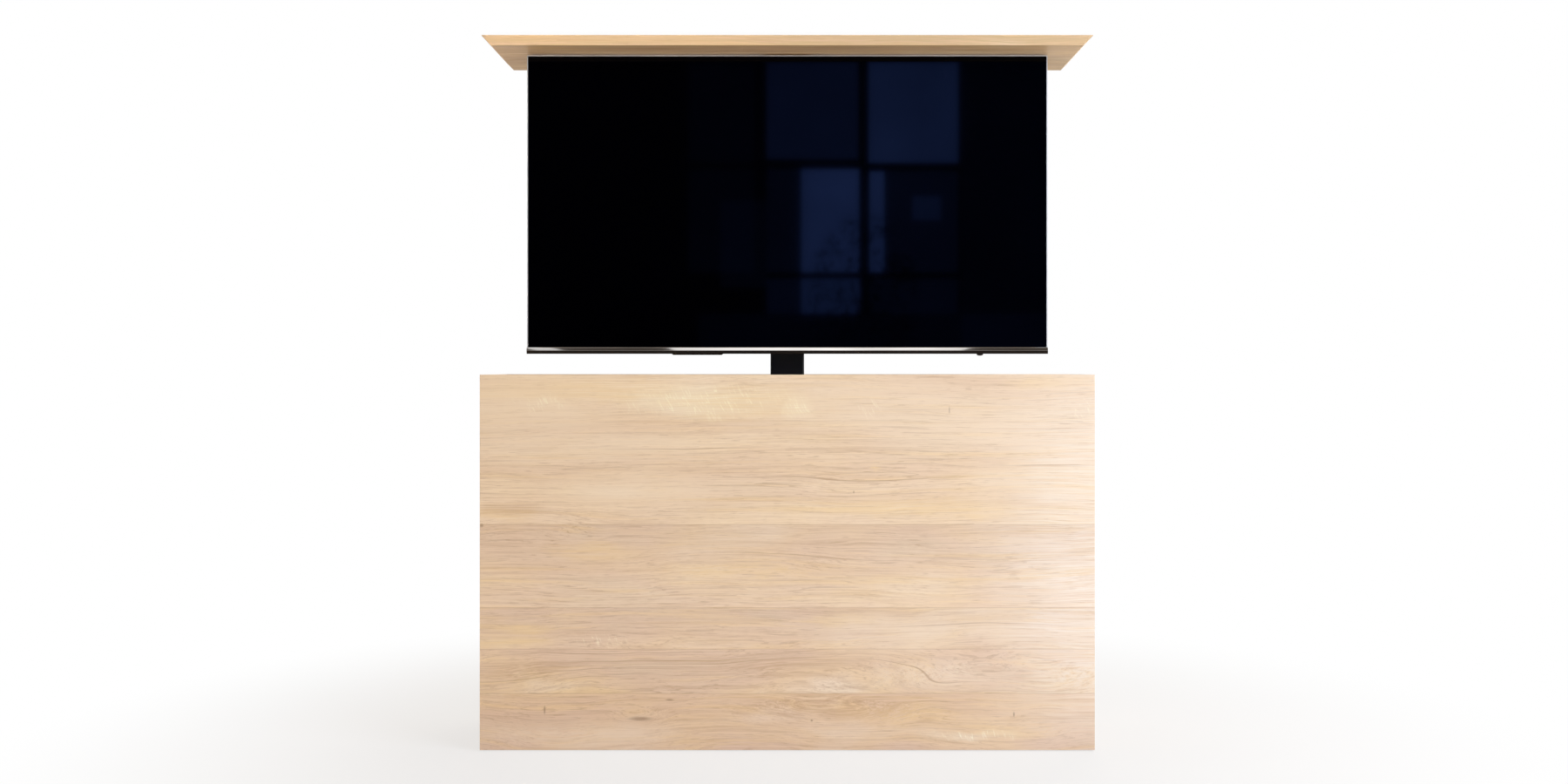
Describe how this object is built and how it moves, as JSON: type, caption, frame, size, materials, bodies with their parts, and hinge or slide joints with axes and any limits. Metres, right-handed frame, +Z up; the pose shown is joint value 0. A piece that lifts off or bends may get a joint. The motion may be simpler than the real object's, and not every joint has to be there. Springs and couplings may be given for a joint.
{
  "type": "tv lift cabinet",
  "caption": "Low wide oak cabinet whose mitred lid and flat television rise together on a telescopic column driven by a spindle and a cascade belt.",
  "frame": {"origin": "centre of the footprint on the floor, lift raised", "axes": "+X to the viewer's right, +Y to the back (the front panel faces -Y), +Z up"},
  "size_m": [1.412, 0.35, 1.645],
  "materials": {
    "oak": "matt oiled, horizontal grain",
    "oak_inside": "plain sanded",
    "ply": "plain",
    "zinc_steel": "zinc plated",
    "black_steel": "fine powder coat",
    "motor_paint": "satin paint",
    "black_plastic": "fine moulded texture",
    "bronze": "turned",
    "belt_rubber": "matt",
    "satin_metal": "satin",
    "screen_glass": "glossy black display",
    "polished_strip": "polished dark metal",
    "sheet_aluminium": "rolled sheet",
    "circuit_board": "lacquered",
    "button_plastic": "gloss"
  },
  "bodies": {
    "cabinet": {"front_panel": "oak", "side_panel_left": "oak", "side_panel_right": "oak", "back_top_rail": "oak", "back_service_panel": "oak", "service_screws": "zinc_steel", "cable_grommet": "black_plastic", "corner_splines": "ply", "back_cleats": "oak_inside", "bottom_panel": "oak_inside", "bottom_battens": "oak_inside", "corner_blocks": "oak_inside", "glide_feet": "black_plastic", "base_plate": "black_steel", "base_bolts": "zinc_steel", "outer_column": "black_steel", "outer_collar": "black_plastic", "gearbox_housing": "motor_paint", "motor": "motor_paint", "outer_belt_clamp": "black_plastic", "control_box": "black_plastic", "control_screws": "zinc_steel"},
    "spindle": {"lead_screw": "zinc_steel"},
    "middle_stage": {"middle_column": "black_steel", "middle_collar": "black_plastic", "middle_shoe": "black_plastic", "spindle_nut": "bronze", "nut_screws": "zinc_steel", "pulley_brackets": "zinc_steel", "cascade_belt": "belt_rubber"},
    "lower_roller": {"lower_pulley": "black_plastic"},
    "upper_roller": {"upper_pulley": "black_plastic"},
    "carriage": {"inner_column": "black_steel", "inner_shoe": "black_plastic", "inner_belt_clamp": "black_plastic", "lid_plate": "black_steel", "lid_screws": "zinc_steel", "lid_panel": "oak", "hanger": "black_steel", "hanger_bolts": "zinc_steel", "mount_rails": "black_steel", "tv_arm_left": "black_steel", "tv_arm_right": "black_steel", "tv_arm_screws": "zinc_steel", "tv_trim": "satin_metal", "tv_screen": "screen_glass", "tv_chin": "polished_strip", "tv_back": "black_plastic", "tv_housing": "black_plastic", "tv_chassis": "sheet_aluminium", "tv_bushes": "zinc_steel", "tv_boards": "circuit_board", "tv_speakers": "black_plastic"},
    "power_key": {"tv_power_button": "button_plastic"}
  },
  "joints": [
    {"name": "lift_middle", "type": "slide", "parent": "cabinet", "child": "middle_stage", "axis": [0, 0, 1], "range_m": [-0.39, 0]},
    {"name": "lift_inner", "type": "slide", "parent": "middle_stage", "child": "carriage", "axis": [0, 0, 1], "range_m": [-0.39, 0]},
    {"name": "spindle_spin", "type": "hinge", "parent": "cabinet", "child": "spindle", "pos_m": [0, 0.0765, 0.061], "axis": [0, 0, 1], "range_deg": [0, 8776]},
    {"name": "lower_pulley_spin", "type": "hinge", "parent": "middle_stage", "child": "lower_roller", "pos_m": [0, 0.1105, 0.529], "axis": [1, 0, 0], "range_deg": [0, 2235]},
    {"name": "upper_pulley_spin", "type": "hinge", "parent": "middle_stage", "child": "upper_roller", "pos_m": [0, 0.1105, 1.004], "axis": [1, 0, 0], "range_deg": [0, 2235]},
    {"name": "power_button_press", "type": "slide", "parent": "carriage", "child": "power_key", "axis": [0, 0, 1], "range_m": [0, 0.0012], "stiffness_N_per_m": 500, "springref_m": -0.001}
  ],
  "couplings": [
    {"joint": "lift_inner", "follows": "lift_middle", "ratio": 1},
    {"joint": "spindle_spin", "follows": "lift_middle", "rad_per_m": -392.7},
    {"joint": "lower_pulley_spin", "follows": "lift_middle", "rad_per_m": -100},
    {"joint": "upper_pulley_spin", "follows": "lift_middle", "rad_per_m": -100}
  ]
}
